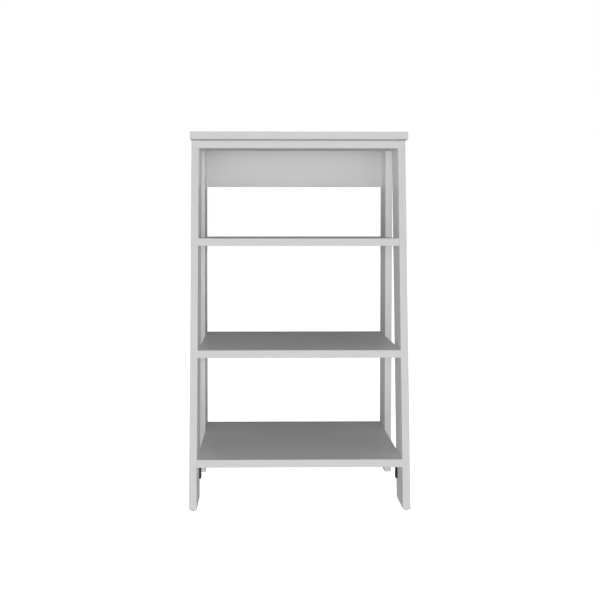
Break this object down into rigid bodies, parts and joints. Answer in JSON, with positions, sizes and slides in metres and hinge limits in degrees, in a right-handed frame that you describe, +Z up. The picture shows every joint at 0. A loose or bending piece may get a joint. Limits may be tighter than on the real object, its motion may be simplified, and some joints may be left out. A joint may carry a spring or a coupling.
{
  "type": "ladder shelf",
  "caption": "White free-standing ladder shelf: upright rear legs, leaning front legs, shelves that get shallower upwards, a top board, a front rail and a rear panel.",
  "frame": {"origin": "on the floor under the middle of the unit's box: half way across its width and half way between the front of its feet and its back", "axes": "+Z up, +Y to the back (the side with the deep panel), +X to the right as seen from the front"},
  "size_m": [0.52, 0.396, 0.894],
  "materials": {
    "white_lacquer": "satin white lacquer on fibreboard",
    "dark_steel": "black powder coat",
    "zinc_steel": "zinc plated",
    "beech_dowel": "raw beech",
    "white_plastic": "moulded polyethylene"
  },
  "bodies": {
    "root": {"top_board": "white_lacquer", "upper_shelf": "white_lacquer", "middle_shelf": "white_lacquer", "lower_shelf": "white_lacquer", "front_leg_left": "white_lacquer", "front_leg_right": "white_lacquer", "rear_leg_left": "white_lacquer", "rear_leg_right": "white_lacquer", "front_top_rail": "white_lacquer", "rear_top_panel": "white_lacquer", "corner_bracket_left": "dark_steel", "corner_bracket_right": "dark_steel", "bracket_screws": "dark_steel", "front_left_glide": "white_plastic", "front_right_glide": "white_plastic", "rear_left_glide": "white_plastic", "rear_right_glide": "white_plastic", "glide_nails": "zinc_steel", "rail_screws": "zinc_steel", "lower_shelf_cam_bolts": "zinc_steel", "lower_shelf_cams": "zinc_steel", "lower_shelf_dowels": "beech_dowel", "middle_shelf_cam_bolts": "zinc_steel", "middle_shelf_cams": "zinc_steel", "middle_shelf_dowels": "beech_dowel", "upper_shelf_cam_bolts": "zinc_steel", "upper_shelf_cams": "zinc_steel", "upper_shelf_dowels": "beech_dowel", "rail_cam_bolts": "zinc_steel", "rail_cams": "zinc_steel", "rail_dowels": "beech_dowel", "panel_cam_bolts": "zinc_steel", "panel_cams": "zinc_steel", "panel_dowels": "beech_dowel", "top_board_dowels": "beech_dowel"}
  },
  "joints": []
}
